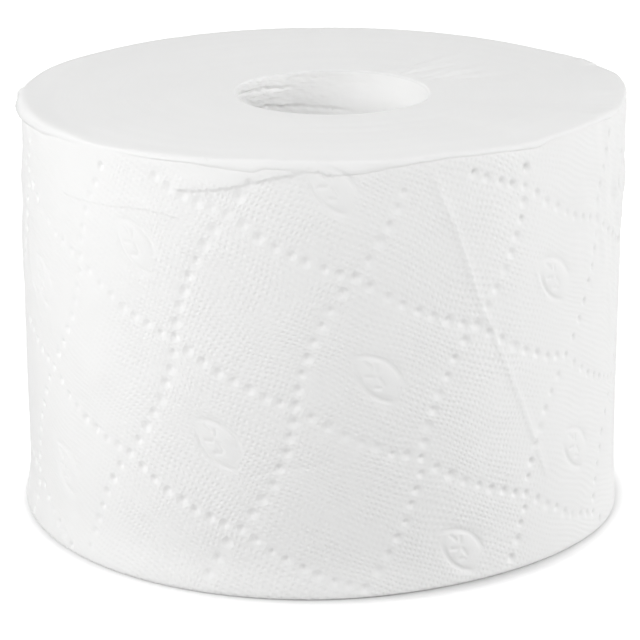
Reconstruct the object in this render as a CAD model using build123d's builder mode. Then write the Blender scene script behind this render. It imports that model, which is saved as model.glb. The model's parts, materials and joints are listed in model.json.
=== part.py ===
# Coreless roll of embossed toilet paper, standing on its end.
# Millimetres, +Z up. The origin is the middle of the end that the roll stands on.
# A place on the wall is (u, z): u runs round the wall from the middle of the front (-Y) to the right,
# and z is the height.
import os
from math import ceil, cos, hypot, pi, radians, sin, sqrt

from build123d import *

os.makedirs("parts", exist_ok=True)

# The wound roll, with an open bore and no tube
ROLL_DIAMETER = 130.0
ROLL_HEIGHT = 90.0
BORE_DIAMETER = 42.0
BORE_OFFSET = 2.3

# The soft shoulder that turns the wall into each end
SHOULDER_WIDTH = 2.4
SHOULDER_HEIGHT = 1.5

# The turns: bands of them stand a little high or low, which shows as steps on the ends
TOP_STEPS = 1
FOOT_STEPS = 1
STEP_DEPTH = 0.3

# The tail: the free edge of the outermost sheet, down the back of the roll
TAIL_STEP = 0.3
TAIL_RUN = 6.0

# The embossed lattice of dotted waves. A falling wave runs down to the right, a rising wave up to the right,
# and NODE is a crossing on the front of the wall.
NODE_U = -5.2
NODE_Z = 41.5
FALLING_STEP_U = 25.6
FALLING_STEP_Z = -12.3
RISING_STEP_U = 11.8
RISING_STEP_Z = 27.0
FALLING_SAG = 1.8
RISING_SWAY = 2.4
DOTS_PER_STEP = 8
DOT_SIZE = 1.25
DOT_DEPTH = 0.4

# The embossed leaf in every second cell of the lattice. Four pressed strokes go round it and one is its vein:
# each is given by its middle, as shares of the leaf's length from its middle towards its foot and of its width
# across it, and by its turn from the leaf's length, in degrees.
LEAF_LENGTH = 13.0
LEAF_WIDTH = 7.2
LEAF_TILT = -45.0
LEAF_STROKES = [(-0.32, 0.28, 34), (0.09, 0.49, -6), (-0.17, -0.36, -20), (0.28, -0.34, 18), (-0.06, 0.04, 0)]
STROKE_LENGTH = 6.0
STROKE_WIDTH = 0.9
STROKE_DEPTH = 0.45

# Plain wall kept between the emboss and a shoulder or the tail
EMBOSS_MARGIN = 0.6
# How far the cutters stand out of the wall
CUTTER_RISE = 0.3

ROLL_RADIUS = ROLL_DIAMETER / 2
HALF_ROUND = pi * ROLL_RADIUS
END_RADIUS = ROLL_RADIUS - SHOULDER_WIDTH


def wall_place(u, z, turn=0.0):
    """The frame on the wall at (u, z): local X to the right, local Y up, local Z outwards, then turned."""
    around = u / ROLL_RADIUS
    outward = Vector(sin(around), -cos(around), 0)
    on_wall = Plane(
        origin=outward * ROLL_RADIUS + Vector(0, 0, z),
        x_dir=(cos(around), sin(around), 0),
        z_dir=outward,
    )
    return Location(on_wall) * Location((0, 0, 0), (0, 0, turn))


def on_plain_wall(u, z, reach):
    """Whether an emboss that reaches this far from (u, z) stays clear of the shoulders and the tail."""
    clear = reach + EMBOSS_MARGIN
    in_height = SHOULDER_HEIGHT + clear < z < ROLL_HEIGHT - SHOULDER_HEIGHT - clear
    in_round = TAIL_RUN - HALF_ROUND + clear < u < HALF_ROUND - clear
    return in_height and in_round


def stepped_end(steps, high, low):
    """Half the outline of an end, from its shoulder in to the axis: flat bands, by turns high and low."""
    pitch = (END_RADIUS - BORE_DIAMETER / 2) / (steps + 1)
    points = [(END_RADIUS, high)]
    for step in range(steps):
        radius = END_RADIUS - pitch * (step + 1)
        before, after = (high, low) if step % 2 == 0 else (low, high)
        points += [(radius, before), (radius, after)]
    return points + [(0, points[-1][1])]


def soft_vee(width, depth):
    """The section of a dimple: two flanks from above the wall down to a point below it, closed at the top."""
    half = width / 2 * (1 + CUTTER_RISE / depth)
    middle = (CUTTER_RISE - depth) / 2
    with BuildSketch() as vee:
        with BuildLine():
            Bezier((-half, CUTTER_RISE), (-half / 2, middle), (0, -depth))
            Bezier((0, -depth), (half / 2, middle), (half, CUTTER_RISE))
            Line((half, CUTTER_RISE), (-half, CUTTER_RISE))
        make_face()
    return vee.sketch


# Where the emboss goes: one step of each wave and every second cell, for each crossing that the wall can hold
reach_cells = ceil((HALF_ROUND + ROLL_HEIGHT) / hypot(RISING_STEP_U, FALLING_STEP_Z))
dot_places = []
leaf_places = []
for falling in range(-reach_cells, reach_cells + 1):
    for rising in range(-reach_cells, reach_cells + 1):
        u = NODE_U + falling * FALLING_STEP_U + rising * RISING_STEP_U
        z = NODE_Z + falling * FALLING_STEP_Z + rising * RISING_STEP_Z
        sway = RISING_SWAY if rising % 2 else -RISING_SWAY
        for dot_number in range(DOTS_PER_STEP):
            share = dot_number / DOTS_PER_STEP
            bow = 4 * share * (1 - share)
            dot_places.append((u + share * FALLING_STEP_U, z + share * FALLING_STEP_Z - bow * FALLING_SAG))
            if dot_number > 0:
                dot_places.append((u + share * RISING_STEP_U + bow * sway, z + share * RISING_STEP_Z))
        if (falling + rising) % 2 == 0:
            middle_u = u + (FALLING_STEP_U + RISING_STEP_U) / 2 + sway
            middle_z = z + (FALLING_STEP_Z + RISING_STEP_Z) / 2 - FALLING_SAG
            leaf_places.append((middle_u, middle_z))

leaf_rise = hypot(LEAF_LENGTH / 2 * sin(radians(LEAF_TILT)), LEAF_WIDTH / 2 * cos(radians(LEAF_TILT)))
dot_places = [place for place in dot_places if on_plain_wall(*place, DOT_SIZE / 2)]
leaf_places = [place for place in leaf_places if on_plain_wall(*place, leaf_rise + STROKE_WIDTH / 2)]

stroke_frames = []
for u, z in leaf_places:
    for along, across, turn in LEAF_STROKES:
        on_leaf = Vector(along * LEAF_LENGTH, across * LEAF_WIDTH, 0).rotate(Axis.Z, LEAF_TILT)
        stroke_frames.append(wall_place(u + on_leaf.X, z + on_leaf.Y, LEAF_TILT + turn))

# One dot: a dimple with two soft flanks above and below, and two plain ones at its sides
with BuildPart() as dot:
    dot_half = DOT_SIZE / 2 * (1 + CUTTER_RISE / DOT_DEPTH)
    with BuildSketch(Plane.YZ.offset(-dot_half)):
        add(soft_vee(DOT_SIZE, DOT_DEPTH))
    extrude(amount=2 * dot_half)
    with BuildSketch(Plane.XZ.offset(-dot_half)):
        Polygon((-dot_half, CUTTER_RISE), (0, -DOT_DEPTH), (dot_half, CUTTER_RISE), align=None)
    extrude(amount=2 * dot_half, mode=Mode.INTERSECT)

# One stroke of a leaf: a slim dimple along local X, deepest in its middle, that runs out at both ends
with BuildPart() as stroke:
    with BuildSketch(Plane.YZ) as stroke_section:
        add(soft_vee(STROKE_WIDTH, STROKE_DEPTH))
    half_run = hypot(STROKE_LENGTH / 2, STROKE_DEPTH) * (1 + CUTTER_RISE / STROKE_DEPTH)
    extrude(stroke_section.sketch, amount=half_run, dir=(STROKE_LENGTH / 2, 0, STROKE_DEPTH))
    extrude(stroke_section.sketch, amount=half_run, dir=(-STROKE_LENGTH / 2, 0, STROKE_DEPTH))

# The roll
with BuildPart() as paper_roll:
    with BuildSketch(Plane.XZ):
        with BuildLine():
            Polyline(
                *reversed(stepped_end(FOOT_STEPS, 0, STEP_DEPTH)),
                (ROLL_RADIUS, SHOULDER_HEIGHT),
                (ROLL_RADIUS, ROLL_HEIGHT - SHOULDER_HEIGHT),
                *stepped_end(TOP_STEPS, ROLL_HEIGHT, ROLL_HEIGHT - STEP_DEPTH),
                close=True,
            )
        make_face()
    revolve(axis=Axis.Z)

    with Locations((BORE_OFFSET, 0, ROLL_HEIGHT)):
        Hole(BORE_DIAMETER / 2)

    # The sheet under the tail lies lower than the tail's edge and comes up to the wall along its run
    with BuildSketch():
        with BuildLine():
            Polyline(
                (0, ROLL_RADIUS - TAIL_STEP),
                (0, ROLL_RADIUS + TAIL_STEP),
                (-TAIL_RUN, ROLL_RADIUS + TAIL_STEP),
                (-TAIL_RUN, sqrt(ROLL_RADIUS**2 - TAIL_RUN**2)),
                close=True,
            )
        make_face()
    extrude(amount=ROLL_HEIGHT, mode=Mode.SUBTRACT)

    with Locations(*stroke_frames):
        add(stroke.part, mode=Mode.SUBTRACT)
    with Locations(*[wall_place(u, z) for u, z in dot_places]):
        add(dot.part, mode=Mode.SUBTRACT)

paper_roll.part.label = "paper_roll"
export_step(paper_roll.part, "parts/paper_roll.step")
print(len(dot_places), "dots,", len(leaf_places), "leaves")
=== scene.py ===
# The looks of an embossed, coreless roll of toilet paper that stands on its end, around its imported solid.
# The paper is one mesh of four patches: the wall with both its rims, the top, the bore and the foot. All is
# in millimetres until the mesh is made. A place on the wall is (u, s): u runs round it from the middle of the
# front to the right, and s runs up the outline and is the height on the plain wall.
import json
from math import cos, hypot, pi, radians, sin

import bpy
import numpy as np
from mathutils import Matrix, Vector, noise
from mathutils.geometry import delaunay_2d_cdt


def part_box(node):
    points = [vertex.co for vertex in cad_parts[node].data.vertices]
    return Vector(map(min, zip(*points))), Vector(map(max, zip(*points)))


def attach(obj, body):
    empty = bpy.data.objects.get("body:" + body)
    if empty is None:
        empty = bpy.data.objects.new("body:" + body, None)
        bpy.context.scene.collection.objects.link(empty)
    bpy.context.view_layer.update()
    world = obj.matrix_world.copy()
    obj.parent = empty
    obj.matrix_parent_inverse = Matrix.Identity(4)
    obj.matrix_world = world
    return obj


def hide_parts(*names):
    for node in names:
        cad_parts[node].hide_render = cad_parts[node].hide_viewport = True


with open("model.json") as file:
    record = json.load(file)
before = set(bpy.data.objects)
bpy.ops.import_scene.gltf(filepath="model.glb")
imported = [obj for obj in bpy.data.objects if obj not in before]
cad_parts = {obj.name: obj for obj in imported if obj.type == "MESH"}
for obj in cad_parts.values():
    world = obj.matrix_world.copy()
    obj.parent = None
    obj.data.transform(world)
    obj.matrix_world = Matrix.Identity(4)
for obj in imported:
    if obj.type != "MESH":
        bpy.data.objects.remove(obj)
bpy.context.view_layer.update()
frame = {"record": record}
MM = 0.001
SEED = 11
draws = np.random.default_rng(SEED)

# The roll's main sizes
roll_low, roll_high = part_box("paper_roll")
bore_mount = next(mount for mount in frame["record"]["mounts"] if mount["name"] == "bore")
ROLL_RADIUS = (roll_high.x - roll_low.x) / 2 / MM
ROLL_HEIGHT = roll_high.z / MM
BORE_RADIUS = bore_mount["dims"]["r_mm"]
BORE_X = bore_mount["pos_m"][0] / MM
HALF_ROUND = pi * ROLL_RADIUS

# The rims: the wall turns over an arc into a shoulder that falls a little outwards, and over one to the foot
TOP_ARC = 0.5
SHOULDER_RUN = 8.0
SHOULDER_FALL = radians(3.5)
SHOULDER_RISE = 0.3
FOOT_ARC = 0.7
# Runs up the outline: where the top's arc starts and ends, and where the wall's patch ends
SHOULDER_Z = ROLL_HEIGHT + SHOULDER_RISE - SHOULDER_RUN * sin(SHOULDER_FALL)
ARC_START = SHOULDER_Z - TOP_ARC * cos(SHOULDER_FALL)
ARC_END = ARC_START + TOP_ARC * (pi / 2 - SHOULDER_FALL)
S_TOP = ARC_END + SHOULDER_RUN
S_FOOT = FOOT_ARC * (1 - pi / 2)
# Where the relief runs out on the shoulder, and where it comes in above the foot
TOP_FADE = (S_TOP - 2, S_TOP - 0.2)
FOOT_FADE = (-0.5, 1.5)

# The embossed lattice of dotted waves, as the solid has it, but up to the rim and down to the foot
NODE = (-5.2, 41.5)
FALLING_STEP = (25.6, -12.3)
RISING_STEP = (11.8, 27.0)
FALLING_SAG = 1.8
RISING_SWAY = 2.4
DOTS_PER_STEP = 8
# How far dots and leaves keep from the seam, and dots from the foot and the top's arc. Leaves may run over
# an end.
DOT_FROM_SEAM = 1.2
DOT_FROM_FOOT = 1.4
DOT_FROM_ARC = 0.9
LEAF_FROM_SEAM = 8.0
LEAF_OVERHANG = 4.0

# A dot: its radius and depth, its flat middle and the low ring round it in radii, and where the crepe returns
DOT_RADIUS = 0.95
DOT_DEPTH = 0.36
DOT_FLAT = 0.3
DOT_RIM = 0.05
DOT_RIM_AT = 1.4
DOT_RIM_WIDTH = 0.3
DOT_CREPE = (0.8, 1.7)
# The soft valley that a row of dots lies in
VALLEY_DEPTH = 0.15
VALLEY_WIDTH = 1.8
VALLEY_REACH = 2.6 * VALLEY_WIDTH
# How the dots differ: how far they stray, and how their depths and radii spread and between which shares
DOT_SPREAD = 0.12
DEPTH_SPREAD = 0.18
DEPTH_SHARES = (0.4, 1.3)
RADIUS_SPREAD = 0.08
RADIUS_SHARES = (0.8, 1.2)
# How their depth changes from place to place, as a share of it
CHANGE_MIDDLE = 0.95
CHANGE_NOISE = 0.6
CHANGE_SPAN = 16.0
CHANGE_SHARES = (0.5, 1.3)
# Where they are fainter or stronger: places, how far each reaches, and the share of their depth
DOT_SHARES = [
    ((-24, 79), (17, 8), 0.35),
    ((-58, 68), (15, 20), 0.5),
    ((38, 86), (10, 7), 1.6),
]

# The leaf in every second cell: lines in its own frame, from its tip to its foot and across it
LEAF_TILT = radians(-45.0)
LEAF_FRAME = np.array([[cos(LEAF_TILT), sin(LEAF_TILT)], [-sin(LEAF_TILT), cos(LEAF_TILT)]])
LEAF_EDGES = [
    [(-6.7, 0.0), (-4.4, 2.2), (-1.4, 3.6), (1.6, 3.7), (4.2, 2.9)],
    [(-4.9, -1.5), (-2.4, -2.8), (0.6, -3.3), (3.6, -2.7), (6.3, -1.2)],
]
LEAF_VEINS = [
    [(-5.1, 0.4), (-3.6, 0.7), (-2.1, 0.6)],
    [(-0.6, 0.3), (0.9, 0.1), (2.3, -0.3)],
    [(-2.9, 2.0), (-1.9, 1.3), (-1.4, 0.6)],
    [(-2.6, -1.6), (-1.6, -1.0), (-0.9, -0.1)],
    [(0.6, -2.0), (1.5, -1.3), (2.2, -0.5)],
]
LEAF_HALF = (6.0, 3.3)
LEAF_PUFF = 0.18
EDGE_DEPTH = 0.25
EDGE_WIDTH = 0.42
VEIN_DEPTH = 0.2
VEIN_WIDTH = 0.34
# The share of its length over which a stroke runs out, and how much of the crepe a leaf presses away
STROKE_FADE = 0.18
LEAF_FLATNESS = 0.8
LEAF_FLAT_FROM = 0.25

# Creases on the wall: a line of places, its height (down where negative) and its width
LONG_CREASE = [
    (22.0, 89.5), (24.4, 83.1), (27.1, 77.4), (30.1, 69.0),
    (32.5, 62.3), (38.1, 49.7), (43.6, 37.9), (52.4, 18.1),
]
CREASES = [
    (LONG_CREASE, 0.26, 0.6),
    ([(-57.0, 30.2), (-51.0, 30.0), (-46.7, 29.0)], -0.12, 0.36),
    ([(-17.0, 25.0), (-9.5, 27.5), (3.0, 29.5)], -0.08, 0.4),
    ([(-77.5, 61.0), (-74.7, 55.2), (-70.0, 50.0)], 0.2, 0.5),
    ([(-81.3, 56.6), (-77.1, 51.2), (-73.1, 45.7)], 0.2, 0.5),
    ([(46.5, 66.6), (49.0, 61.4), (52.0, 56.5)], 0.14, 0.4),
]
CREASE_FADE = 3.5

# Ledges, where a ply lies over the paper under it: the line of its edge, how far it stands out, how wide the
# step at its edge is, and how far up the ply comes back to the wall
LOOSE_FLAP = [
    (-32.5, 85.3), (-29.6, 84.6), (-23.5, 85.1), (-17.8, 86.2),
    (-14.7, 87.0), (-11.7, 87.9), (-7.0, 89.0), (-3, 89.6),
]
SECOND_PLY = [(-65.0, 78.4), (-57.3, 78.2), (-46.9, 78.7), (-37.2, 79.5), (-27.5, 78.6)]
LEDGES = [
    (LOOSE_FLAP, 0.4, 0.9, 4.5),
    (SECOND_PLY, 0.16, 0.5, 2.6),
]

# How finely strokes, creases and ledges are followed, and how many widths their relief reaches
STROKE_SPACING = 0.45
CREASE_SPACING = 0.8
LEDGE_SPACING = 0.5
LINE_REACH = 3

# Where the crepe has been pressed flat: places and how far each reaches
FLAT_PATCHES = [
    ((-58, 84.5), (7, 4.5)),
    ((-52.7, 55), (4.5, 4.5)),
    ((-64.7, 51), (4, 4)),
    ((-73, 77), (5, 3.5)),
    ((-20, 87.5), (11, 2.5)),
]

# The rim: at each u, how far it rises, where the lip's lower edge is, how far the lip stands out over it, and
# how far it swells above that
LIFT, LIP_LINE, LIP_LEDGE, LIP_STAND = 1, 2, 3, 4
LIP = [
    (-150, 0.0, 89.0, 0.05, 0.1),
    (-118, 0.0, 88.4, 0.12, 0.7),
    (-98, 0.0, 87.8, 0.25, 1.2),
    (-86, 0.0, 88.0, 0.3, 1.1),
    (-74, 0.2, 88.5, 0.25, 0.7),
    (-62, 0.7, 89.0, 0.12, 0.4),
    (-52, 0.8, 89.2, 0.0, 0.1),
    (-45, 0.9, 89.3, 0.05, 0.2),
    (-40, 0.95, 89.3, 0.22, 0.25),
    (-34, 1.15, 89.15, 0.26, 0.25),
    (-27, 1.25, 89.2, 0.24, 0.25),
    (-22, 1.35, 88.8, 0.22, 0.25),
    (-18, 1.45, 88.4, 0.22, 0.25),
    (-14, 1.65, 88.0, 0.2, 0.25),
    (-11, 1.85, 88.6, 0.22, 0.2),
    (-6.5, 1.8, 88.6, 0.15, 0.2),
    (-5, 1.75, 88.1, 0.15, 0.2),
    (-0.5, 1.7, 88.1, 0.25, 0.15),
    (1.4, 1.6, 87.6, 0.32, 0.1),
    (7.9, 1.6, 87.85, 0.28, 0.1),
    (10.5, 1.6, 88.25, 0.24, 0.15),
    (14.4, 1.6, 88.9, 0.2, 0.15),
    (21, 1.85, 89.25, 0.28, 0.1),
    (26, 2.1, 89.3, 0.26, 0.1),
    (34, 1.9, 89.3, 0.28, 0.1),
    (38, 1.8, 89.3, 0.26, 0.1),
    (42, 1.6, 89.2, 0.28, 0.1),
    (47, 1.5, 89.0, 0.28, 0.1),
    (52, 2.0, 89.3, 0.1, 0.1),
    (58, 2.15, 89.3, 0.0, 0.1),
    (66, 2.1, 89.3, 0.1, 0.1),
    (71, 2.15, 89.1, 0.34, 0.1),
    (76, 1.8, 89.1, 0.34, 0.1),
    (83, 1.6, 89.3, 0.15, 0.1),
    (95, 2.0, 89.3, 0.0, 0.2),
    (108, 1.9, 89.3, 0.0, 0.3),
    (125, 0.9, 89.2, 0.05, 0.2),
    (150, 0.1, 89.2, 0.05, 0.1),
]
# The width of the step at the lip's edge, how tall its swell is, and two fades of the crepe at it
LIP_STEP = 0.34
LIP_TALL = 1.4
LIP_CREPE = ((-0.6, 0.3), (-1.0, 0.2))
# From what height the wall is lifted with the rim, and how many rounds it takes to find a lifted place
LIFT_FROM = 60.0
LIFT_ROUNDS = 4

# How the soft roll departs from a true cylinder: places, how far each reaches, and how far it goes in or out
SWELLS = [
    ((-102, 84), (50, 15), -0.65),
    ((-10, 92), (60, 14), -0.6),
    ((-62, 0), (40, 5), 1.0),
    ((-104, 0), (30, 4), 0.6),
    ((30, 2), (28, 14), -0.6),
    ((100, 25), (34, 24), -0.3),
    ((100, 88), (34, 14), 0.3),
    ((160, 60), (40, 30), -0.25),
    ((0, 0), (20, 5), 0.9),
    ((-30, 0), (26, 5), 1.2),
    ((78, 0), (16, 5), 0.8),
    ((-52, 58), (4, 3), 0.35),
    ((-51, 43), (4, 4), 0.3),
]
SWELL_NOISE = 0.16
SWELL_NOISE_SPAN = 26.0
# Where the paper is rumpled in upright folds: places, how far each reaches, and how high the folds are
RUMPLES = [
    ((-90, 62), (18, 26), 0.45),
    ((84, 72), (14, 20), 0.95),
]
RUMPLE_SPAN = (2.6, 7.0)
RUMPLE_SLANT = 0.25

# The tail, the free edge of the outermost sheet down the back, and where its step comes in and runs out
TAIL_STEP = 0.3
TAIL_RUN = 6.0
TAIL_FOOT = (S_FOOT, 2.0)
TAIL_TOP = (ARC_START - 1, S_TOP)

# The bore's mouth, from the right over the back: an angle in degrees, how far the paper is bent outwards, how
# far down the bend reaches, and how far the mouth stands above the solid's end
BORE_MOUTH = [
    (0, 0.5, 0.9, 0.3),
    (40, 0.3, 0.5, 0.1),
    (80, 0.2, 0.35, -0.05),
    (125, 0.15, 0.25, -0.05),
    (165, 0.2, 0.35, 0.35),
    (185, 0.4, 0.5, 0.6),
    (205, 1.6, 0.9, 0.8),
    (230, 3.4, 1.2, 1.0),
    (275, 4.2, 1.3, 1.15),
    (320, 3.4, 1.3, 1.0),
    (345, 1.6, 1.2, 0.5),
]
MOUTH_LEDGE = 0.25
# The bore is pinched a little at its left and right: an angle and a reach in degrees, and how far. This ends
# between these depths.
PINCHES = [(180, 22, 0.2), (0, 30, 0.3)]
PINCH_DEPTHS = (8, 30)
# The bore's wall leans in at the back right as it goes down
LEAN = 2.6
LEAN_TURN = radians(58)
LEAN_REACH = 0.9
LEAN_DEPTH = 20.0
# Long folds in the bore: from one angle to another in degrees, how far down at each, and how deep they go
BORE_FOLDS = [
    (112, 174, 3.5, 2.2, 0.8),
    (70, 166, 9.4, 5.9, 0.5),
]
FOLD_WIDTH = 0.32
FOLD_SWAY = 0.4
FOLD_SWAYS = 9
# The degrees over which a fold comes in and runs out
FOLD_IN = 18
FOLD_OUT = 8

# The bore's crumples, at its left and right. Their rows bend softly and slant round it.
CRINKLE_LEFT = 0.19
CRINKLE_RIGHT = 0.03
CRINKLE_SIDE = (-0.45, 0.7)
CRINKLE_SIDE_TURN = 0.1
ROW_BEND = 1.3
ROW_BEND_SPAN = 8.0
ROW_SLANT = 1.6
ROW_SLANT_TURN = 0.6
# The coarse and the fine ones: their spans across and down, how thin their crests are, and how much of each
COARSE_SPANS = (6.0, 6.0, 1.5)
COARSE_CREST = 0.12
COARSE_SWELL = 0.5
FINE_SPANS = (3.0, 3.0, 0.8)
FINE_CREST = 0.18
FINE_SHARE = 0.9
# Upright streaks at the back of the bore
STREAK_DEPTH = 0.1
STREAK_SPANS = (1.0, 1.0, 2.5)
STREAK_TURN = radians(105)
STREAK_REACH = 0.45
# The crumples come in over the inner half of the bent mouth, and run out between these depths
MOUTH_PLAIN = 0.5
BORE_FADE = (ROLL_HEIGHT - 6, ROLL_HEIGHT - 2)
# The share of the fine wrinkles at the bore's right, and where its left side begins and is full
RIGHT_WRINKLES = 0.12
WRINKLE_SIDE = (-0.3, 0.8)

# The ends: soft rings of turns that drift a little and change round the roll, and a few terraces of them
RING_NOISE = 0.16
RING_SPAN = 2.6
RING_CHANGE = 1.5
RING_CHANGE_TURN = 1.0
RING_DRIFT = 1.2
RING_DRIFT_SPAN = 30.0
TERRACE_COUNT = 4
TERRACE_DEPTH = 0.16
TERRACE_SOFT = 0.3
# Wisps that run outwards behind the bore: their middle, reach and spans, as an angle and from the bore's edge
WISP_RISE = 0.8
WISPS_MIDDLE = (0.8, 9)
WISPS_REACH = (0.5, 13)
WISP_SPANS = (1 / 18, 14)
# Over which shares of the way from the wall to the bore the top's relief comes in and runs out
END_IN = (0, 0.12)
END_OUT = (0.93, 1)

# The papers: their colours, how cloudy they are, and their shine
PAPER_COLOUR = (0.9, 0.9, 0.895)
# The bore's paper is the same tissue painted lighter: painted light for what the thin paper lets into the
# bore
BORE_PAINTED_LIGHT_COLOUR = (0.955, 0.955, 0.95)
CLOUD_SCALE = 60.0
CLOUD_TINT = (0.985, 1.015)
CLOUD_ROUGHNESS = (0.82, 0.94)
PAPER_SPECULAR = 0.25
PAPER_SHEEN = 0.05
# The wall's crepe: small dimples in slanting rows, which drift by noise of each scale and reach
CREPE_PITCH = 1.18
CREPE_TURN = radians(23.5)
CREPE_JITTER = 0.18
CREPE_DEPTH = 0.11
CREPE_DRIFTS = ((0.05, 6.0), (0.5, 0.4))
# The crepe is fainter in places: the noise's scale, what gives the least and the full depth, and the least
FAINT_SCALE = 0.12
FAINT_NOISE = (0.32, 0.6)
FAINT_LEAST = 0.5
# Between these distances from the middle of the front, the dimples turn into plain rows
ROWS_FROM = 40.0
ROWS_FULL = 58.0
ROWS_DEPTH = 0.045
# The depths and scales of the loose fibres on the wall and the ends, and of the fine rings on the ends
FIBRE_DEPTH = 0.02
FIBRE_SCALE = 1.4
END_FIBRE_DEPTH = 0.035
END_FIBRE_SCALE = 1.1
CUT_DEPTH = 0.05
CUT_SCALE = 1.6
CUT_DRIFT = 2.5
CUT_DRIFT_SCALE = 0.05
# The fine wrinkles in the bore, as noise that is stretched round it
WRINKLE_DEPTH = 0.38
WRINKLE_SCALES = (260, 260, 1700)

# How closely the mesh is spaced: the wall's grid, the rings of the other patches, and rows beside the seam
WALL_PITCH = 1.12
ROUND_COUNT = 256
SEAM_GAP = 0.25
MOUTH_TURNS = 6
FOOT_TURNS = 4
TOP_RINGS = 26
FOOT_RINGS = 7
# The step between the bore's rings down to a depth, its growth under it, and how many are left at the foot
FINE_STEP = 0.32
FINE_DEPTH = 12.5
STEP_GROWTH = 1.28
LAST_STEP = 1.5
# Rings of points in and round each dot: shares of its radius, and how many points each has
DOT_RINGS = ((0.3, 5), (0.62, 8), (0.95, 11), (1.4, 12))
# Rows of points beside each stroke, crease and ledge, in its widths, along the lip's edge and round the arcs
STROKE_ROWS = (-1.6, -0.8, 0, 0.8, 1.6)
CREASE_ROWS = (-1.8, -0.9, 0, 0.9, 1.8)
LEDGE_ROWS = (-0.6, -0.3, 0, 0.3, 0.6)
LIP_ROWS = (-0.5, -0.28, -0.14, 0, 0.14, 0.28, 0.55, 1.0)
ARC_ROWS = (S_FOOT + 0.5, -0.1, 0.5, 1.1, 1.7, ARC_END, ARC_END + 1.0, ARC_END + 2.2)
ROW_STEP = 0.8
ROW_SHIFT = 0.3
ROW_FROM_SEAM = 1
# Between which runs lines have rows beside them, and the gaps kept: from a dot's rings to those rows, from
# the grid to all else, from the grid to a dot's middle in radii, and along the patch's edges
LINE_ROWS_FROM = 2.2
LINE_ROWS_TO = ARC_END + 0.9
RING_GAP = 0.25
GRID_GAP = 0.75
GRID_FROM_DOT = 1.5
EDGE_GAP = 0.45
FOOT_GAP = 0.3
# What counts as the same place, and to how many digits points are welded
SAME_PLACE = 1e-6
WELD_DIGITS = 4

# Which paper a face wears
WALL, END, BORE = range(3)


def smooth(edge_low, edge_high, value):
    """0 up to the low edge, 1 from the high edge, and a soft rise between."""
    share = np.clip((value - edge_low) / (edge_high - edge_low), 0, 1)
    return share * share * (3 - 2 * share)


def bell(offset):
    """1 at 0 and softly less on both sides."""
    return np.exp(-(offset**2))


def run_out(along, fade):
    """1 along a line, and softly 0 towards both its ends."""
    return smooth(0, fade, along) * smooth(0, fade, 1 - along)


def noise_at(places, span, seed):
    """Soft noise from -1 to 1 at each place, of this span or these spans. Each seed gives another stretch."""
    scaled = places / span
    height = np.full(len(places), float(seed)) if scaled.shape[1] == 2 else scaled[:, 2] + seed
    return np.array([noise.noise(place) for place in zip(scaled[:, 0], scaled[:, 1], height)])


def patch_at(places, middle, reach):
    """1 at the middle and softly less away from it, round a patch that reaches this far each way."""
    return np.exp(-(((places - np.array(middle)) / np.array(reach)) ** 2).sum(1))


def places_at(u, s):
    """Places from their two numbers, of which one may be the same for all."""
    return np.stack(np.broadcast_arrays(u, s), 1)


def soft_between(stations, whole_turn, at, column):
    """A column of the stations at each place, soft between them. Their first column says where each is, and
    they close on themselves after a whole turn."""
    stations = np.array(stations, float)
    around = np.concatenate([stations[-1:, 0] - whole_turn, stations[:, 0], stations[:1, 0] + whole_turn])
    values = np.concatenate([stations[-1:, column], stations[:, column], stations[:1, column]])
    place = np.clip(np.searchsorted(around, at) - 1, 0, len(around) - 2)
    share = smooth(around[place], around[place + 1], at)
    return values[place] * (1 - share) + values[place + 1] * share


def curve_through(points, spacing):
    """Places at about this spacing on a smooth curve through the points."""
    points = np.array(points, float)
    ends = np.vstack([2 * points[0] - points[1], points, 2 * points[-1] - points[-2]])
    places = []
    for before, start, stop, after in zip(ends, ends[1:], ends[2:], ends[3:]):
        count = max(1, round(float(np.linalg.norm(stop - start)) / spacing))
        for share in np.arange(count) / count:
            bend = (2 * before - 5 * start + 4 * stop - after) * share**2
            twist = (3 * start - before - 3 * stop + after) * share**3
            places.append((2 * start + (stop - before) * share + bend + twist) / 2)
    return np.vstack([places, points[-1:]])


def to_line(places, line, reach):
    """Each place's distance from the line and its share of the way along it. Past the reach the distance is
    twice the reach and the share is 0."""
    distance = np.full(len(places), 2.0 * reach)
    along = np.zeros(len(places))
    low, high = line.min(0) - reach, line.max(0) + reach
    near = np.flatnonzero(((places > low) & (places < high)).all(1))
    start, step = line[:-1], np.diff(line, axis=0)
    length = np.linalg.norm(step, axis=1)
    begun = np.concatenate([[0], np.cumsum(length)])
    offset = places[near, None] - start
    share = np.clip((offset * step).sum(2) / (length**2), 0, 1)
    gap = np.linalg.norm(offset - share[:, :, None] * step, axis=2)
    best = gap.argmin(1)
    row = np.arange(len(near))
    distance[near] = gap[row, best]
    along[near] = (begun[best] + share[row, best] * length[best]) / begun[-1]
    return distance, along


def rows_beside(line, offsets):
    """Rows of places along a line, at these offsets to its side."""
    ahead = np.gradient(line, axis=0)
    side = np.stack([-ahead[:, 1], ahead[:, 0]], 1) / np.linalg.norm(ahead, axis=1)[:, None]
    return np.vstack([line + offset * side for offset in offsets])


def ring_of(centre, radius, count, turn):
    """A ring of places round a centre, turned by this angle."""
    angles = turn + 2 * pi * np.arange(count) / count
    return centre + radius * places_at(np.cos(angles), np.sin(angles))


def apart_from(places, centres, gap):
    """The places that lie at least this far from every centre."""
    order = np.argsort(places[:, 0])
    places = places[order]
    keep = np.ones(len(places), bool)
    for centre in centres:
        first, last = np.searchsorted(places[:, 0], [centre[0] - gap, centre[0] + gap])
        offset = places[first:last] - centre
        keep[first:last] &= (offset**2).sum(1) > gap**2
    return places[keep]


def in_order(places, chosen, axis):
    """The numbers of the chosen places, in order along one axis."""
    index = np.flatnonzero(chosen)
    return index[np.argsort(places[index, axis])]


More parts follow.
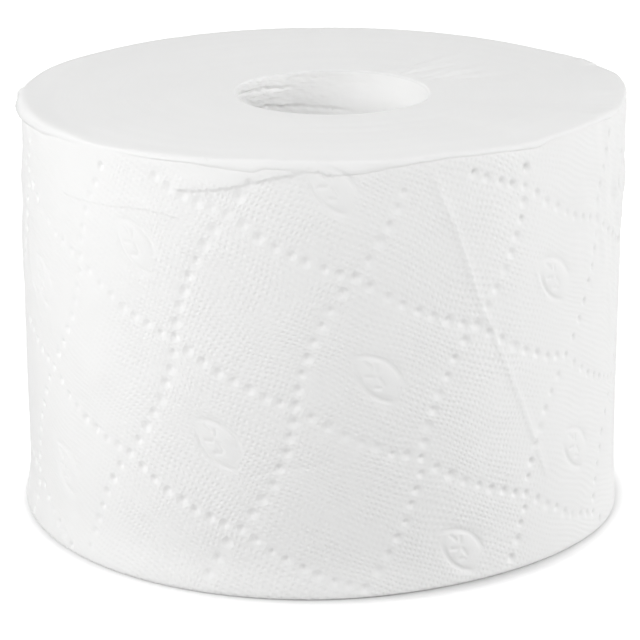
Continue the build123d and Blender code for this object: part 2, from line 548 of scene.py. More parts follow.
def outline(s):
    """The plain outline at a run s: its radius, its height, and its outward direction as two numbers."""
    top_angle = np.clip((s - ARC_START) / TOP_ARC, 0, pi / 2 - SHOULDER_FALL)
    foot_angle = np.clip((FOOT_ARC - s) / FOOT_ARC, 0, pi / 2)
    on_shoulder = np.clip(s - ARC_END, 0, None)
    radius = ROLL_RADIUS - TOP_ARC * (1 - np.cos(top_angle)) - FOOT_ARC * (1 - np.cos(foot_angle))
    radius -= on_shoulder * cos(SHOULDER_FALL)
    height = np.clip(s, FOOT_ARC, ARC_START) + TOP_ARC * np.sin(top_angle) - FOOT_ARC * np.sin(foot_angle)
    height += on_shoulder * sin(SHOULDER_FALL)
    return radius, height, np.cos(top_angle + foot_angle), np.sin(top_angle) - np.sin(foot_angle)


def emboss_places():
    """Where the dots and the leaves are on the wall, by their u and their height."""
    dots, leaves = [], []
    fall, rise, sag = np.array(FALLING_STEP), np.array(RISING_STEP), np.array([0, FALLING_SAG])
    reach = int((HALF_ROUND + ROLL_HEIGHT) / hypot(rise[0], fall[1])) + 1
    for falling in range(-reach, reach + 1):
        for rising in range(-reach, reach + 1):
            node = np.array(NODE) + falling * fall + rising * rise
            sway = np.array([RISING_SWAY if rising % 2 else -RISING_SWAY, 0])
            for share in np.arange(DOTS_PER_STEP) / DOTS_PER_STEP:
                bow = 4 * share * (1 - share)
                dots.append(node + share * fall - bow * sag)
                if share > 0:
                    dots.append(node + share * rise + bow * sway)
            if (falling + rising) % 2 == 0:
                leaves.append(node + (fall + rise) / 2 + sway - sag)
    dots, leaves = np.array(dots), np.array(leaves)
    beside_seam = np.abs(dots[:, 0]) < HALF_ROUND - DOT_FROM_SEAM
    dots = dots[beside_seam & (dots[:, 1] > DOT_FROM_FOOT) & (dots[:, 1] < ARC_START - DOT_FROM_ARC)]
    dots = dots + draws.normal(0, DOT_SPREAD, dots.shape)
    beside_seam = np.abs(leaves[:, 0]) < HALF_ROUND - LEAF_FROM_SEAM
    in_height = (leaves[:, 1] > -LEAF_OVERHANG) & (leaves[:, 1] < ROLL_HEIGHT + LEAF_OVERHANG)
    return dots, leaves[beside_seam & in_height]


def lip_at(u, column):
    """A value of the lip at each u."""
    return soft_between(LIP, 2 * HALF_ROUND, u, column)


def lift(u, s):
    """How far the rim's rise lifts the wall at (u, s)."""
    return lip_at(u, LIFT) * smooth(LIFT_FROM, ARC_START, s)


def unlifted(places):
    """Places on the wall from places that are given by their height."""
    u, height = places.T
    s = height.copy()
    for _ in range(LIFT_ROUNDS):
        s = height - lift(u, s)
    return places_at(u, s)


def wall_line(points, spacing):
    """A smooth line on the wall through points that are given by their height."""
    return unlifted(curve_through(points, spacing))


def dot_share(places):
    """The share of its depth that a dot has at each place."""
    share = np.clip(CHANGE_MIDDLE + CHANGE_NOISE * noise_at(places, CHANGE_SPAN, seed=8), *CHANGE_SHARES)
    for middle, reach, amount in DOT_SHARES:
        share *= 1 + (amount - 1) * patch_at(places, middle, reach)
    return share


# All that is pressed into the wall or folded on it
dots, leaves = emboss_places()
dots, leaf_middles = unlifted(dots), unlifted(leaves)
dot_depths = DOT_DEPTH * np.clip(draws.normal(1, DEPTH_SPREAD, len(dots)), *DEPTH_SHARES) * dot_share(dots)
dot_radii = DOT_RADIUS * np.clip(draws.normal(1, RADIUS_SPREAD, len(dots)), *RADIUS_SHARES)
leaf_strokes = [
    (wall_line(np.array(points) @ LEAF_FRAME + leaf, STROKE_SPACING), depth, width)
    for leaf in leaves
    for lines, depth, width in ((LEAF_EDGES, EDGE_DEPTH, EDGE_WIDTH), (LEAF_VEINS, VEIN_DEPTH, VEIN_WIDTH))
    for points in lines
]
crease_lines = [(wall_line(points, CREASE_SPACING), rise, width) for points, rise, width in CREASES]
ledge_lines = [(wall_line(points, LEDGE_SPACING), *rest) for points, *rest in LEDGES]


def swell(u, s):
    """How far the soft roll stands outside or inside a true cylinder."""
    total = np.zeros(len(u))
    for (middle_u, middle_s), (reach_u, reach_s), amount in SWELLS:
        gap = np.abs(u - middle_u)
        gap = np.minimum(gap, 2 * HALF_ROUND - gap)
        total += amount * bell(gap / reach_u) * bell((s - middle_s) / reach_s)
    angle = u / ROLL_RADIUS
    round_wall = np.stack([ROLL_RADIUS * np.sin(angle), ROLL_RADIUS * np.cos(angle), s], 1)
    return total + SWELL_NOISE * noise_at(round_wall, SWELL_NOISE_SPAN, seed=3)


def rumple(places):
    """How far the upright folds of the rumpled places stand out."""
    u, s = places.T
    share = sum(amount * patch_at(places, middle, reach) for middle, reach, amount in RUMPLES)
    return share * noise_at(places_at(u + RUMPLE_SLANT * s, s), RUMPLE_SPAN, seed=13)


def dot_relief(places):
    """How far the dots and their valleys stand out of the wall, and how much of the crepe they leave."""
    height, valley, crepe = np.zeros(len(places)), np.zeros(len(places)), np.ones(len(places))
    order = np.argsort(places[:, 0])
    sorted_u = places[order, 0]
    for dot, depth, radius in zip(dots, dot_depths, dot_radii):
        first, last = np.searchsorted(sorted_u, [dot[0] - VALLEY_REACH, dot[0] + VALLEY_REACH])
        near = order[first:last]
        gap = np.linalg.norm(places[near] - dot, axis=1)
        height[near] -= depth * (1 - smooth(DOT_FLAT * radius, radius, gap))
        height[near] += DOT_RIM * bell((gap / radius - DOT_RIM_AT) / DOT_RIM_WIDTH)
        valley[near] = np.maximum(valley[near], bell(gap / VALLEY_WIDTH))
        crepe[near] *= smooth(*DOT_CREPE, gap)
    return height - VALLEY_DEPTH * valley, crepe


def leaf_relief(places):
    """How far the leaves and their strokes stand out of the wall, and how much of the crepe they leave."""
    height, crepe = np.zeros(len(places)), np.ones(len(places))
    for leaf in leaf_middles:
        on_leaf = (places - leaf) @ LEAF_FRAME.T / LEAF_HALF
        inside = np.clip(1 - (on_leaf**2).sum(1), 0, 1)
        height += LEAF_PUFF * inside * (2 - inside)
        crepe *= 1 - LEAF_FLATNESS * smooth(0, LEAF_FLAT_FROM, inside)
    for line, depth, width in leaf_strokes:
        gap, along = to_line(places, line, LINE_REACH * width)
        height -= depth * bell(gap / width) * run_out(along, STROKE_FADE)
        crepe *= smooth(width, 2 * width, gap)
    return height, crepe


def crease_relief(places):
    """How far the creases stand out of the wall."""
    height = np.zeros(len(places))
    for line, rise, width in crease_lines:
        gap, along = to_line(places, line, LINE_REACH * width)
        fade = CREASE_FADE / np.linalg.norm(np.diff(line, axis=0), axis=1).sum()
        height += rise * bell(gap / width) * run_out(along, fade)
    return height


def ledge_relief(places):
    """How far the plies that lie over the wall stand out of it."""
    u, s = places.T
    height = np.zeros(len(places))
    for line, rise, step, reach in ledge_lines:
        first, last = line[0, 0], line[-1, 0]
        on_ledge = smooth(first, first + CREASE_FADE, u) * (1 - smooth(last - CREASE_FADE, last, u))
        above = s - np.interp(u, line[:, 0], line[:, 1])
        height += rise * on_ledge * smooth(-0.5, 0.5, above / step) * (1 - smooth(step, reach, above))
    return height


def lip_relief(places):
    """How far the lip stands out of the rim, and how much of the crepe it leaves."""
    u, s = places.T
    over = s - lip_at(u, LIP_LINE)
    height = lip_at(u, LIP_LEDGE) * smooth(-0.5, 0.5, over / LIP_STEP)
    height += lip_at(u, LIP_STAND) * smooth(0, LIP_TALL, over)
    crepe = np.ones(len(u))
    for low, high in LIP_CREPE:
        crepe *= 1 - smooth(low, high, over)
    return height * (1 - smooth(ARC_END, TOP_FADE[0], s)), crepe


def relief(places):
    """How far the paper stands out of the swollen wall at each place, and how much of its crepe shows."""
    height = crease_relief(places) + ledge_relief(places) + rumple(places)
    crepe = np.ones(len(places))
    for part in (dot_relief, leaf_relief, lip_relief):
        stands_out, left = part(places)
        height += stands_out
        crepe *= left
    for middle, reach in FLAT_PATCHES:
        crepe *= 1 - patch_at(places, middle, reach)
    s = places[:, 1]
    return height * smooth(*FOOT_FADE, s) * (1 - smooth(*TOP_FADE, s)), crepe


def dot_points():
    """Places in each dot and in rings round it, each dot's turned by chance."""
    points = []
    for dot, radius in zip(dots, dot_radii):
        turn = draws.uniform(0, pi)
        points.append(dot[None])
        for share, count in DOT_RINGS:
            points.append(ring_of(dot, share * radius, count, turn * (1 + share)))
    return np.vstack(points)


def line_points(row_u):
    """Rows of places beside each stroke, crease and ledge, and along the lip's edge at each of these u."""
    kinds = ((leaf_strokes, STROKE_ROWS), (crease_lines, CREASE_ROWS), (ledge_lines, LEDGE_ROWS))
    rows = [rows_beside(line, np.array(at) * width) for lines, at in kinds for line, _, width, *_ in lines]
    rows += [places_at(row_u, lip_at(row_u, LIP_LINE) + offset) for offset in LIP_ROWS]
    rows = np.vstack(rows)
    return rows[(rows[:, 1] > LINE_ROWS_FROM) & (rows[:, 1] < LINE_ROWS_TO)]


def edge_places(rows):
    """Places along the edges of the wall's patch: a ring at its top and its foot, and rows up its sides."""
    ring_u = np.linspace(-HALF_ROUND, HALF_ROUND, ROUND_COUNT + 1)
    side_s = np.linspace(S_FOOT, S_TOP, rows + 1)[1:-1]
    sides = (-HALF_ROUND, -HALF_ROUND + SEAM_GAP, HALF_ROUND - SEAM_GAP, HALF_ROUND)
    return np.vstack([places_at(ring_u, s) for s in (S_FOOT, S_TOP)] + [places_at(u, side_s) for u in sides])


def wall_places():
    """Where the wall's mesh has its points: a plain grid, closer round all that is pressed or creased."""
    count = int(2 * HALF_ROUND / WALL_PITCH)
    rows = int((S_TOP - S_FOOT) / (WALL_PITCH * sin(pi / 3)))
    row, column = np.divmod(np.arange(rows * count), count)
    grid_u = (column + 0.5 * (row % 2)) / count * 2 * HALF_ROUND - HALF_ROUND
    grid_s = S_FOOT + (row + 0.5) / rows * (S_TOP - S_FOOT)

    row_u = np.arange(-HALF_ROUND + ROW_FROM_SEAM, HALF_ROUND - ROW_FROM_SEAM, ROW_STEP)
    on_dots, on_lines = dot_points(), line_points(row_u)
    on_arcs = np.vstack([places_at(row_u + ROW_SHIFT * (row % 2), s) for row, s in enumerate(ARC_ROWS)])
    on_dots = apart_from(on_dots, on_lines, RING_GAP)
    grid = apart_from(places_at(grid_u, grid_s), np.vstack([dots, on_lines[::2], on_arcs]), GRID_GAP)
    grid = apart_from(grid, dots, GRID_FROM_DOT * DOT_RADIUS)

    inner = np.vstack([on_lines, on_dots, on_arcs, grid])
    inside = np.abs(inner[:, 0]) < HALF_ROUND - EDGE_GAP
    inside &= (inner[:, 1] > S_FOOT + FOOT_GAP) & (inner[:, 1] < S_TOP - EDGE_GAP)
    return np.vstack([inner[inside], edge_places(rows)])


def on_roll(places):
    """The mesh's points for these places on the wall, and how much crepe shows at each."""
    u, s = places.T
    radius, height, out, up = outline(s)
    rise, crepe = relief(places)
    tail = (1 - smooth(0, TAIL_RUN, u + HALF_ROUND)) * smooth(*TAIL_FOOT, s) * (1 - smooth(*TAIL_TOP, s))
    radius = radius + swell(u, s) + rise * out - TAIL_STEP * tail
    height = height + rise * up + lift(u, s)
    angle = u / ROLL_RADIUS
    return np.stack([radius * np.sin(angle), -radius * np.cos(angle), height], 1), crepe


class Patches:
    """Patches of the mesh as they are made: points, map places, crepe shown, faces and papers worn."""

    def __init__(self):
        self.parts = []
        self.count = 0

    def add(self, points, map_places, crepe, faces, paper):
        faces = np.array(faces) + self.count
        self.parts.append((points, map_places, crepe, faces, np.full(len(faces), paper)))
        self.count += len(points)


def add_wall(patches):
    """The wall with its rims. Returns its ring of points at the top and at the foot."""
    places = wall_places()
    filled = delaunay_2d_cdt([Vector(place) for place in places], [], [], 0, SAME_PLACE)
    faces = np.array(filled[2])
    places = places[np.array([origin[0] for origin in filled[3]])]
    points, crepe = on_roll(places)
    patches.add(points, places, crepe, faces, WALL)

    # A strip closes the tail's step, between the patch's left and right sides
    left = in_order(places, places[:, 0] < -HALF_ROUND + SAME_PLACE, 1)
    right = in_order(places, places[:, 0] > HALF_ROUND - SAME_PLACE, 1)
    edge = np.concatenate([left, right])
    steps = len(left)
    strip = [
        face
        for low in range(steps - 1)
        for face in ((steps + low, low, low + 1), (steps + low, low + 1, steps + low + 1))
    ]
    patches.add(points[edge], places[edge], crepe[edge] * 0, strip, WALL)

    return [points[in_order(places, np.abs(places[:, 1] - s) < SAME_PLACE, 0)] for s in (S_TOP, S_FOOT)]


def ring_faces(levels, flip):
    """Triangles between rings, whose last point is again where the first is."""
    faces = []
    for level in range(levels - 1):
        for step in range(ROUND_COUNT):
            a = level * (ROUND_COUNT + 1) + step
            b, c, d = a + 1, a + ROUND_COUNT + 1, a + ROUND_COUNT + 2
            faces += [(a, c, b), (b, c, d)] if flip else [(a, b, c), (b, d, c)]
    return faces


def bore_levels():
    """Shares of the way down the bore from the end of its bent mouth, fine in its upper part."""
    levels, step = [0.0], FINE_STEP
    while levels[-1] < ROLL_HEIGHT - FOOT_ARC - LAST_STEP * step:
        step *= STEP_GROWTH if levels[-1] > FINE_DEPTH else 1
        levels.append(levels[-1] + step)
    return np.array(levels) / levels[-1]


def from_turn(angle, turn):
    """How far each angle is from this turn, the shorter way round."""
    return np.abs((angle - turn + pi) % (2 * pi) - pi)


def pinch(angle):
    """How far the bore's wall is pinched in at each angle."""
    return sum(depth * bell(from_turn(angle, radians(at)) / radians(reach)) for at, reach, depth in PINCHES)


def crinkle(angle, depth):
    """How far the crumpled paper stands off the bore's wall, in long thin wrinkles, most at the left."""
    run = BORE_RADIUS * places_at(np.cos(angle), np.sin(angle))
    bend = ROW_BEND * noise_at(run, ROW_BEND_SPAN, seed=2)
    bent = depth + bend + ROW_SLANT * np.sin(angle + ROW_SLANT_TURN)
    coarse = noise_at(np.column_stack([run, bent]), COARSE_SPANS, seed=5)
    fine = noise_at(np.column_stack([run, bent]), FINE_SPANS, seed=9)
    wrinkles = bell(coarse / COARSE_CREST) + FINE_SHARE * bell(fine / FINE_CREST) - COARSE_SWELL * coarse
    left = smooth(*CRINKLE_SIDE, -np.cos(angle) - CRINKLE_SIDE_TURN * np.sin(angle))
    behind = bell(from_turn(angle, STREAK_TURN) / STREAK_REACH)
    streaks = STREAK_DEPTH * behind * noise_at(np.column_stack([run, depth]), STREAK_SPANS, seed=15)
    return (CRINKLE_RIGHT + (CRINKLE_LEFT - CRINKLE_RIGHT) * left) * wrinkles - streaks


def bore_folds(angle, depth):
    """How deep the long folds go into the bore's wall."""
    degrees = np.degrees(angle) % 360
    total = np.zeros(len(angle))
    sway = FOLD_SWAY * noise_at(angle[:, None] * (FOLD_SWAYS, 0), 1, seed=4)
    for start, stop, start_depth, stop_depth, recess in BORE_FOLDS:
        line = np.interp(degrees, (start, stop), (start_depth, stop_depth)) + sway
        on_fold = smooth(start, start + FOLD_IN, degrees) * (1 - smooth(stop - FOLD_OUT, stop, degrees))
        total += recess * on_fold * bell((depth - line) / FOLD_WIDTH)
    return total


def bore_rings(angle):
    """The bore's plain rings, as how far each lies outside its radius and how high: those of the bent mouth,
    and those from there down to the foot."""
    degrees = np.degrees(angle) % 360
    wide, deep, stand = (soft_between(BORE_MOUTH, 360, degrees, column) for column in (1, 2, 3))
    rim_z = ROLL_HEIGHT + stand
    mouth = [(wide + MOUTH_LEDGE, rim_z), (wide, rim_z)]
    for turn in np.linspace(0, pi / 2, MOUTH_TURNS + 1)[1:]:
        mouth.append((wide * (1 - sin(turn)), rim_z - deep * (1 - cos(turn))))
    lean = LEAN * bell(from_turn(angle, LEAN_TURN) / LEAN_REACH)
    wall = []
    for level in bore_levels()[1:]:
        height = (rim_z - deep) * (1 - level) + FOOT_ARC * level
        wall.append((-lean * smooth(0, LEAN_DEPTH, ROLL_HEIGHT - height), height))
    for turn in np.linspace(0, pi / 2, FOOT_TURNS + 1)[1:]:
        outside = FOOT_ARC * (1 - cos(turn)) - lean * (1 - sin(turn))
        wall.append((outside, np.full_like(angle, FOOT_ARC * (1 - sin(turn)))))
    return mouth, wall


def add_bore(patches):
    """The bore, from the top over its bent mouth and down to the foot. Returns its top and its foot ring."""
    # Its rings start at the back, as the wall's do
    angle = np.linspace(0, 2 * pi, ROUND_COUNT + 1) - pi / 2 - pi
    mouth, wall = bore_rings(angle)
    outside, height = (np.concatenate(column) for column in zip(*mouth, *wall))
    levels = len(mouth) + len(wall)
    turn = np.tile(angle, levels)
    depth = np.tile(mouth[0][1], levels) - height
    down_mouth = np.minimum(1, np.repeat(np.arange(levels), ROUND_COUNT + 1) / (len(mouth) - 1))
    shown = smooth(MOUTH_PLAIN, 1, down_mouth) * (1 - smooth(*BORE_FADE, depth))
    radius = BORE_RADIUS + outside + bore_folds(turn, depth)
    radius -= pinch(turn) * (1 - smooth(*PINCH_DEPTHS, depth)) + crinkle(turn, depth) * shown
    points = np.stack([BORE_X + radius * np.cos(turn), radius * np.sin(turn), height], 1)
    left = smooth(*WRINKLE_SIDE, -np.cos(turn))
    crepe = shown * (RIGHT_WRINKLES + (1 - RIGHT_WRINKLES) * left)
    for first, last, look in ((0, len(mouth), END), (len(mouth) - 1, levels, BORE)):
        part = slice(first * (ROUND_COUNT + 1), last * (ROUND_COUNT + 1))
        patches.add(points[part], points[part, :2], crepe[part], ring_faces(last - first, False), look)
    points = points.reshape(levels, ROUND_COUNT + 1, 3)
    return points[0], points[-1]


def end_relief(points, share):
    """How far the turns stand up on the top: soft rings, terraces of them, and wisps behind the bore."""
    x, y = points[:, 0] - BORE_X * share, points[:, 1]
    radius, angle = np.hypot(x, y), np.arctan2(y, x)
    drifted = radius + RING_DRIFT * noise_at(points[:, :2], RING_DRIFT_SPAN, seed=21)
    rings = noise_at(places_at(drifted, RING_CHANGE * np.cos(angle - RING_CHANGE_TURN)), RING_SPAN, seed=22)
    terrace = np.sin(drifted / (ROLL_RADIUS - BORE_RADIUS) * pi * TERRACE_COUNT)
    behind = patch_at(places_at(angle, radius - BORE_RADIUS), WISPS_MIDDLE, WISPS_REACH)
    wisps = behind * noise_at(places_at(angle, radius), WISP_SPANS, seed=23)
    height = RING_NOISE * rings + TERRACE_DEPTH / 2 * smooth(-TERRACE_SOFT, TERRACE_SOFT, terrace)
    return (height + WISP_RISE * wisps) * smooth(*END_IN, share) * (1 - smooth(*END_OUT, share))


def add_end(patches, outer, inner, levels, up):
    """The top or the foot, between the wall's ring and the bore's ring. The foot is plain."""
    share = np.linspace(0, 1, levels)
    points = (outer[None] * (1 - share)[:, None, None] + inner[None] * share[:, None, None]).reshape(-1, 3)
    if up:
        points[:, 2] += end_relief(points, np.repeat(share, ROUND_COUNT + 1))
    patches.add(points, points[:, :2], np.zeros(len(points)), ring_faces(levels, not up), END)


def paper_mesh(name, patches, papers):
    """One closed mesh from the patches, with the points that meet welded."""
    points, map_places, shown, faces, worn = (np.concatenate(column) for column in zip(*patches.parts))
    _, first, same = np.unique(np.round(points, WELD_DIGITS), axis=0, return_index=True, return_inverse=True)
    welded = same.reshape(-1)[faces]
    a, b, c = welded.T
    real = (a != b) & (b != c) & (c != a)
    mesh = bpy.data.meshes.new(name)
    mesh.from_pydata((points[first] * MM).tolist(), [], welded[real].tolist())
    for paper in papers:
        mesh.materials.append(paper)
    mesh.polygons.foreach_set("material_index", worn[real].astype(np.int32))
    layer = mesh.uv_layers.new(name="paper")
    layer.data.foreach_set("uv", map_places[faces[real]].ravel())
    crepe = mesh.attributes.new("crepe", "FLOAT", "POINT")
    crepe.data.foreach_set("value", shown[first].astype(np.float32))
    mesh.shade_smooth()
    mesh.update()
    return mesh


def placed(name, data):
    """A new object of the scene with this data."""
    thing = bpy.data.objects.new(name, data)
    bpy.context.scene.collection.objects.link(thing)
    return thing


class Nodes:
    """A short way to make and link the nodes of a material or a world."""

    def __init__(self, owner):
        owner.use_nodes = True
        self.owner = owner
        self.tree = owner.node_tree
        self.tree.nodes.clear()

    def make(self, kind, values=(), **settings):
        """A node of this kind with its settings, and each value on its socket or linked to it."""
        node = self.tree.nodes.new(kind)
        for key, value in settings.items():
            setattr(node, key, value)
        for key, value in dict(values).items():
            if isinstance(value, bpy.types.NodeSocket):
                self.tree.links.new(value, node.inputs[key])
            else:
                node.inputs[key].default_value = value
        return node

    def maths(self, operation, first, second=0.5):
        return self.make("ShaderNodeMath", {0: first, 1: second}, operation=operation).outputs[0]

    def times(self, *factors):
        """The product of all the factors."""
        product = factors[0]
        for factor in factors[1:]:
            product = self.maths("MULTIPLY", product, factor)
        return product

    def vectors(self, operation, values):
        return self.make("ShaderNodeVectorMath", values, operation=operation).outputs[0]

    def length(self, vector):
        return self.make("ShaderNodeVectorMath", {0: vector}, operation="LENGTH").outputs["Value"]

    def ranged(self, value, low, high, start=0.0, stop=1.0, **settings):
        """Low up to the start, high from the stop, and a rise between."""
        limits = {"Value": value, "From Min": start, "From Max": stop, "To Min": low, "To Max": high}
        return self.make("ShaderNodeMapRange", limits, **settings).outputs[0]

    def clouds(self, vector, scale, detail):
        """Soft noise, as the node."""
        return self.make("ShaderNodeTexNoise", {"Vector": vector, "Scale": scale, "Detail": detail})

    def fibres(self, vector, scale):
        """Noise as fine as loose fibres."""
        return self.clouds(vector, scale, 4.0).outputs[0]

    def map_place(self):
        """The place on the mesh's map."""
        return self.make("ShaderNodeUVMap", uv_map="paper").outputs[0]

    def object_place(self):
        """The place in the object's own frame, in metres."""
        return self.make("ShaderNodeTexCoord").outputs["Object"]

    def crepe_shown(self):
        """How much of the fine relief shows."""
        return self.make("ShaderNodeAttribute", attribute_name="crepe").outputs["Fac"]


def paper(name, colour, surface):
    """White tissue: surface(nodes) gives its height in millimetres as a socket."""
    nodes = Nodes(bpy.data.materials.new(name))
    bump = nodes.make("ShaderNodeBump", {"Strength": 1.0, "Distance": MM, "Height": surface(nodes)})
    cloud = nodes.clouds(nodes.object_place(), CLOUD_SCALE, 3.0).outputs[0]
    shader = nodes.make("ShaderNodeBsdfPrincipled", {
        "Base Color": nodes.vectors("SCALE", {0: colour, "Scale": nodes.ranged(cloud, *CLOUD_TINT)}),
        "Roughness": nodes.ranged(cloud, *CLOUD_ROUGHNESS),
        "Specular IOR Level": PAPER_SPECULAR,
        "Sheen Weight": PAPER_SHEEN,
        "Normal": bump.outputs[0],
    })
    nodes.make("ShaderNodeOutputMaterial", {"Surface": shader.outputs[0]})
    return nodes.owner


def drifted_place(nodes, place):
    """The map's place, moved a little by slow and by quick noise, so that rows run out of true."""
    warped = place
    for scale, reach in CREPE_DRIFTS:
        drift = nodes.clouds(place, scale, 1.0).outputs[1]
        shift = nodes.vectors("SUBTRACT", {0: drift, 1: (0.5, 0.5, 0.5)})
        warped = nodes.vectors("ADD", {0: warped, 1: nodes.vectors("SCALE", {0: shift, "Scale": reach})})
    return warped


def wall_surface(nodes):
    """Fine crepe: small dimples in slanting rows, a little out of true, where nothing else is pressed."""
    place = nodes.map_place()
    drifted = drifted_place(nodes, place)
    turned = nodes.make("ShaderNodeMapping", {"Vector": drifted, "Rotation": (0, 0, CREPE_TURN)})
    cells = {"Vector": turned.outputs[0], "Scale": 1 / CREPE_PITCH, "Randomness": CREPE_JITTER}
    dimples = nodes.make("ShaderNodeTexVoronoi", cells, voronoi_dimensions="2D")
    rise = nodes.ranged(dimples.outputs[0], 0.0, 1.0, 0.0, 0.5, interpolation_type="SMOOTHSTEP")
    strength = nodes.ranged(nodes.clouds(place, FAINT_SCALE, 2.0).outputs[0], FAINT_LEAST, 1.0, *FAINT_NOISE)
    depth = nodes.times(nodes.crepe_shown(), strength, CREPE_DEPTH)

    across_rows = nodes.make("ShaderNodeSeparateXYZ", {0: turned.outputs[0]}).outputs[1]
    wave = nodes.maths("SINE", nodes.times(across_rows, 2 * pi / CREPE_PITCH))
    far_round = nodes.maths("ABSOLUTE", nodes.make("ShaderNodeSeparateXYZ", {0: place}).outputs[0])
    side = nodes.ranged(far_round, 0.0, 1.0, ROWS_FROM, ROWS_FULL)
    pits = nodes.times(rise, nodes.maths("SUBTRACT", 1.0, side))
    rows = nodes.times(wave, side, ROWS_DEPTH / CREPE_DEPTH / 2)
    crepe = nodes.times(nodes.maths("ADD", pits, rows), depth)
    return nodes.maths("ADD", crepe, nodes.times(nodes.fibres(place, FIBRE_SCALE), FIBRE_DEPTH))


def end_surface(nodes):
    """The cut edges of the turns: fine rings round the bore, broken up by cut fibres."""
    place = nodes.map_place()
    radius = nodes.length(nodes.vectors("MULTIPLY", {0: place, 1: (1, 1, 0)}))
    across = nodes.maths("ADD", radius, nodes.times(nodes.fibres(place, CUT_DRIFT_SCALE), CUT_DRIFT))
    noise_in = {"W": across, "Scale": CUT_SCALE, "Detail": 3.0}
    rings = nodes.make("ShaderNodeTexNoise", noise_in, noise_dimensions="1D")
    cut = nodes.times(nodes.fibres(place, END_FIBRE_SCALE), END_FIBRE_DEPTH)
    return nodes.maths("ADD", nodes.times(rings.outputs[0], CUT_DEPTH), cut)


def bore_surface(nodes):
    """Crumpled paper: fine wrinkles that run round the bore, most at the left."""
    long = nodes.make("ShaderNodeMapping", {"Vector": nodes.object_place(), "Scale": WRINKLE_SCALES})
    wrinkles = nodes.clouds(long.outputs[0], 1.0, 3.0).outputs[0]
    return nodes.times(wrinkles, nodes.crepe_shown(), WRINKLE_DEPTH)


def add_roll():
    """The roll's one piece, made of its patches and its papers."""
    patches = Patches()
    top_ring, foot_ring = add_wall(patches)
    bore_top, bore_foot = add_bore(patches)
    add_end(patches, top_ring, bore_top, TOP_RINGS, True)
    add_end(patches, foot_ring, bore_foot, FOOT_RINGS, False)
    papers = [
        paper("tissue_wall", PAPER_COLOUR, wall_surface),
        paper("tissue_end", PAPER_COLOUR, end_surface),
        # The bore's lighter colour is painted light inside the bore
        paper("tissue_bore_painted_light", BORE_PAINTED_LIGHT_COLOUR, bore_surface),
    ]
    return placed("roll_tissue", paper_mesh("roll_tissue", patches, papers))


roll = add_roll()
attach(roll, "root")
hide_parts("paper_roll")

# Each lamp: where it is round the roll and above it in degrees, its distance in metres and its power in watts
LAMPS = {
    "front_left": (-25, 26, 0.64, 1.78),
    "side_left": (-75, 25, 1.2, 4.2),
    "low_left": (-100, 12, 1.2, 3.1),
    "low_right": (75, 12, 1.2, 3.5),
    "side_right": (100, 12, 1.2, 5.2),
    "high_right": (50, 40, 1.2, 3.4),
    "high_back": (180, 60, 1.2, 5.1),
}
# A lamp's side as a share of its distance
LAMP_SPREAD = 0.5


def soft_light(name, azimuth, elevation, distance, power):
    """A square soft box that faces the roll's middle. Azimuth 0 is in front, 90 on the right."""
    lamp = bpy.data.lights.new(name, "AREA")
    lamp.size = LAMP_SPREAD * distance
    lamp.energy = power
    light = placed(name, lamp)
    turn, rise = radians(azimuth), radians(elevation)
    from_roll = Vector((sin(turn) * cos(rise), -cos(turn) * cos(rise), sin(rise)))
    light.location = Vector((0, 0, ROLL_HEIGHT * MM / 2)) + from_roll * distance
    light.rotation_euler = (-from_roll).to_track_quat("-Z", "Y").to_euler()


def white_room():
    """Plain white behind the roll and in what its gloss shows. It doesn't light the paper."""
    nodes = Nodes(bpy.data.worlds.new("white_room"))
    rays = nodes.make("ShaderNodeLightPath").outputs
    seen = nodes.maths("MAXIMUM", rays["Is Camera Ray"], rays["Is Glossy Ray"])
    back = nodes.make("ShaderNodeBackground", {"Color": (1, 1, 1, 1), "Strength": seen})
    nodes.make("ShaderNodeOutputWorld", {"Surface": back.outputs[0]})
    bpy.context.scene.world = nodes.owner


# The floor: half its side in metres, its grey as the light meets it and as the camera sees it, and the glow
# that makes it white for the camera: its strength, how far from the axis it starts and is full in metres, and
# how much narrower it is from side to side
# Where the glow fades out towards the roll, the floor stays grey round its foot: painted shade over its real
# shadow
FLOOR_HALF = 3.0
FLOOR_GREY = 0.58
FLOOR_SEEN = 0.7
FLOOR_GLOW = 0.9
GLOW_START = 0.0652
GLOW_FULL = 0.0735
GLOW_SQUASH = 1.03


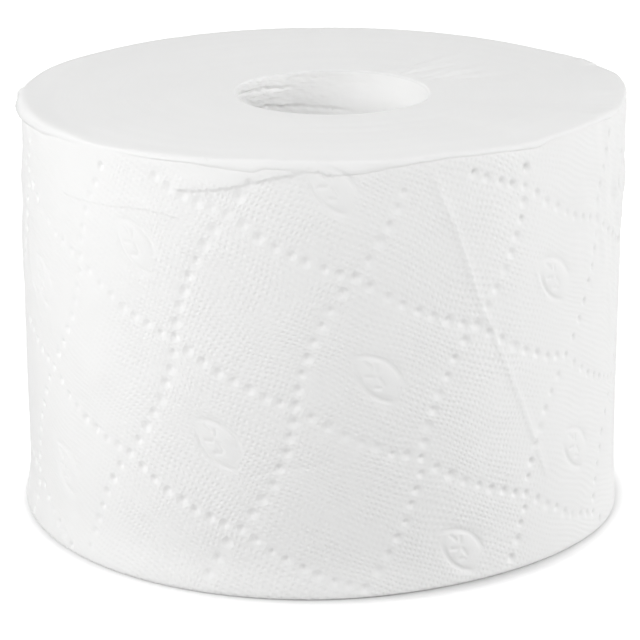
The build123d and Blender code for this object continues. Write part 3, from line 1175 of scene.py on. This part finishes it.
def pale_floor():
    """A pale floor, which the camera sees as white apart from the roll's shadow and painted shade round its
    foot.
    """
    mesh = bpy.data.meshes.new("floor")
    corners = [(x * FLOOR_HALF, y * FLOOR_HALF, 0) for x, y in ((-1, -1), (1, -1), (1, 1), (-1, 1))]
    mesh.from_pydata(corners, [], [(0, 1, 2, 3)])
    nodes = Nodes(bpy.data.materials.new("pale_floor"))
    rays = nodes.make("ShaderNodeLightPath").outputs["Is Camera Ray"]
    plain = nodes.make("ShaderNodeBsdfDiffuse", {"Color": nodes.ranged(rays, FLOOR_GREY, FLOOR_SEEN)})
    oval = nodes.vectors("MULTIPLY", {0: nodes.object_place(), 1: (GLOW_SQUASH, 1, 1)})
    # The glow is less near the roll, which paints shade round its foot
    glow_away_from_roll = nodes.ranged(nodes.length(oval), 0.0, FLOOR_GLOW, GLOW_START, GLOW_FULL)
    glow = nodes.make("ShaderNodeEmission", {"Strength": nodes.times(rays, glow_away_from_roll)})
    both = nodes.make("ShaderNodeAddShader", {0: plain.outputs[0], 1: glow.outputs[0]})
    nodes.make("ShaderNodeOutputMaterial", {"Surface": both.outputs[0]})
    mesh.materials.append(nodes.owner)
    floor = placed("floor", mesh)


# The camera, from the photograph's perspective: its distance and the height of its aim on the axis in metres,
# the fall and roll of its view, its lens and sensor in millimetres, its shift and the nearest that it sees
CAMERA_DISTANCE = 0.6703
CAMERA_AIM = 0.0386
CAMERA_FALL = radians(18.04)
CAMERA_ROLL = radians(-0.2)
CAMERA_LENS = 171.2
SENSOR = 36.0
SHIFT_X = -0.0035
CLIP_START = 0.05


def camera():
    """The camera at the photograph's viewing angle."""
    data = bpy.data.cameras.new("camera")
    data.lens = CAMERA_LENS
    data.sensor_width = SENSOR
    data.shift_x = SHIFT_X
    data.clip_start = CLIP_START
    eye = placed("camera", data)
    ahead = Vector((0, cos(CAMERA_FALL), -sin(CAMERA_FALL)))
    eye.location = Vector((0, 0, CAMERA_AIM)) - ahead * CAMERA_DISTANCE
    upright = ahead.to_track_quat("-Z", "Y").to_matrix().to_4x4()
    eye.rotation_euler = (upright @ Matrix.Rotation(CAMERA_ROLL, 4, "Z")).to_euler()
    bpy.context.scene.camera = eye


for name, place_and_power in LAMPS.items():
    soft_light(name, *place_and_power)
white_room()
pale_floor()
camera()
bpy.context.scene.view_settings.view_transform = "Standard"
